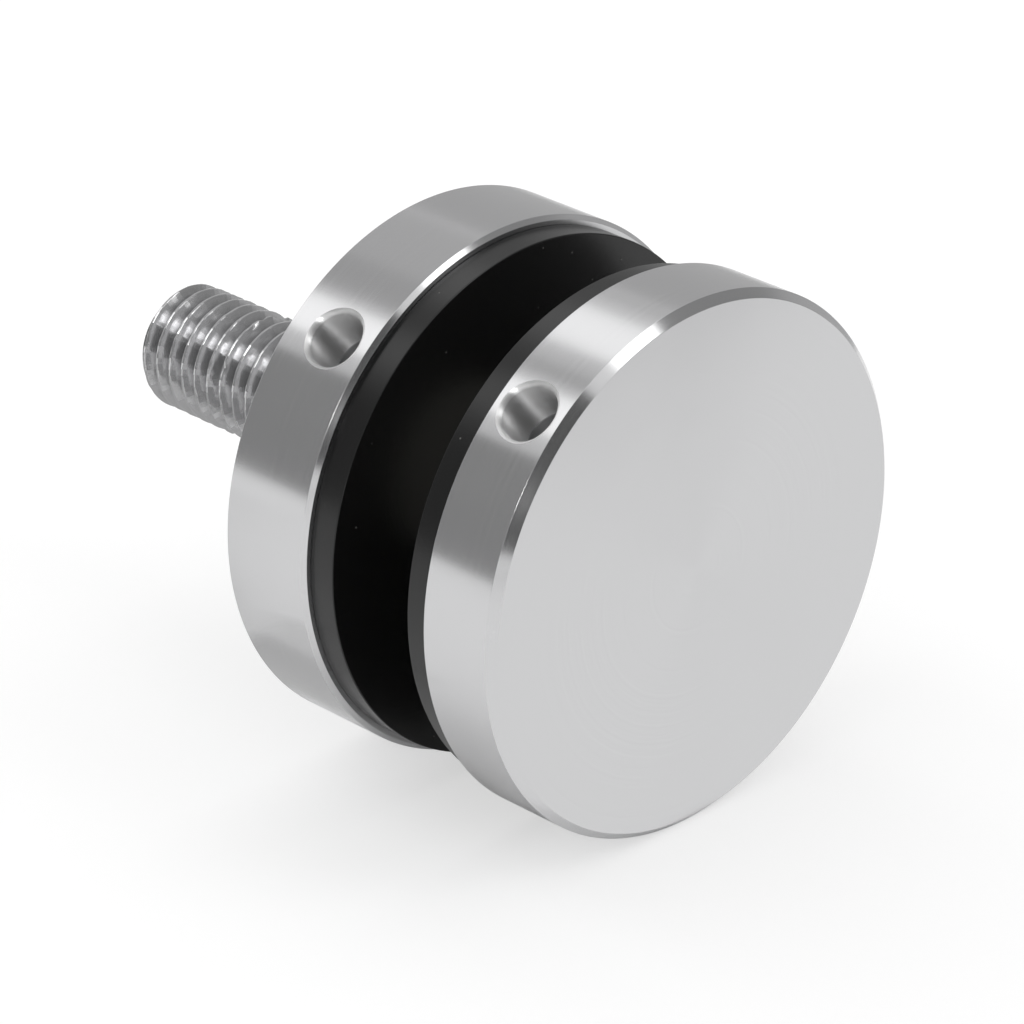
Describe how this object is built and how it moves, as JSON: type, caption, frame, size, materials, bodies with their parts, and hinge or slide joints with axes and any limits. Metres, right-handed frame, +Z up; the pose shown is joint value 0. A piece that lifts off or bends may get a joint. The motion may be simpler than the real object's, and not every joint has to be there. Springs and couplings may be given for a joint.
{
  "type": "glass standoff",
  "caption": "Round steel glass standoff: turned discs with rubber gaskets clamp a glass panel on a threaded stud, and a bar hole in each rim turns them.",
  "frame": {"origin": "on the stud's axis, in the plane of the base disc's wall face", "axes": "+Y along the stud from the front cap towards the wall, +Z up, +X to the right seen from the front"},
  "size_m": [0.05, 0.0666, 0.05],
  "materials": {
    "turned_steel": "fine turned, satin",
    "thread_steel": "rolled thread, bright crests",
    "gasket_rubber": "matt black",
    "sleeve_plastic": "natural white"
  },
  "bodies": {
    "stud": {"threaded_stud": "thread_steel", "glass_sleeve": "sleeve_plastic"},
    "front_gasket": {"front_gasket": "gasket_rubber"},
    "front_cap": {"front_cap": "turned_steel"},
    "rear_gasket": {"rear_gasket": "gasket_rubber"},
    "base_disc": {"base_disc": "turned_steel"}
  },
  "joints": [
    {"name": "cap_travel", "type": "slide", "parent": "stud", "child": "front_gasket", "axis": [0, -1, 0], "range_m": [-0.00115, 0.00525]},
    {"name": "cap_turn", "type": "hinge", "parent": "front_gasket", "child": "front_cap", "pos_m": [0, -0.0285, 0], "axis": [0, -1, 0], "range_deg": [-236, 1080]},
    {"name": "base_travel", "type": "slide", "parent": "stud", "child": "rear_gasket", "axis": [0, 1, 0], "range_m": [0, 0.021]},
    {"name": "base_turn", "type": "hinge", "parent": "rear_gasket", "child": "base_disc", "pos_m": [0, -0.0049, 0], "axis": [0, 1, 0], "range_deg": [0, 4320]}
  ],
  "couplings": [
    {"joint": "cap_travel", "follows": "cap_turn", "m_per_rad": 0.00027852},
    {"joint": "base_travel", "follows": "base_turn", "m_per_rad": 0.00027852}
  ]
}
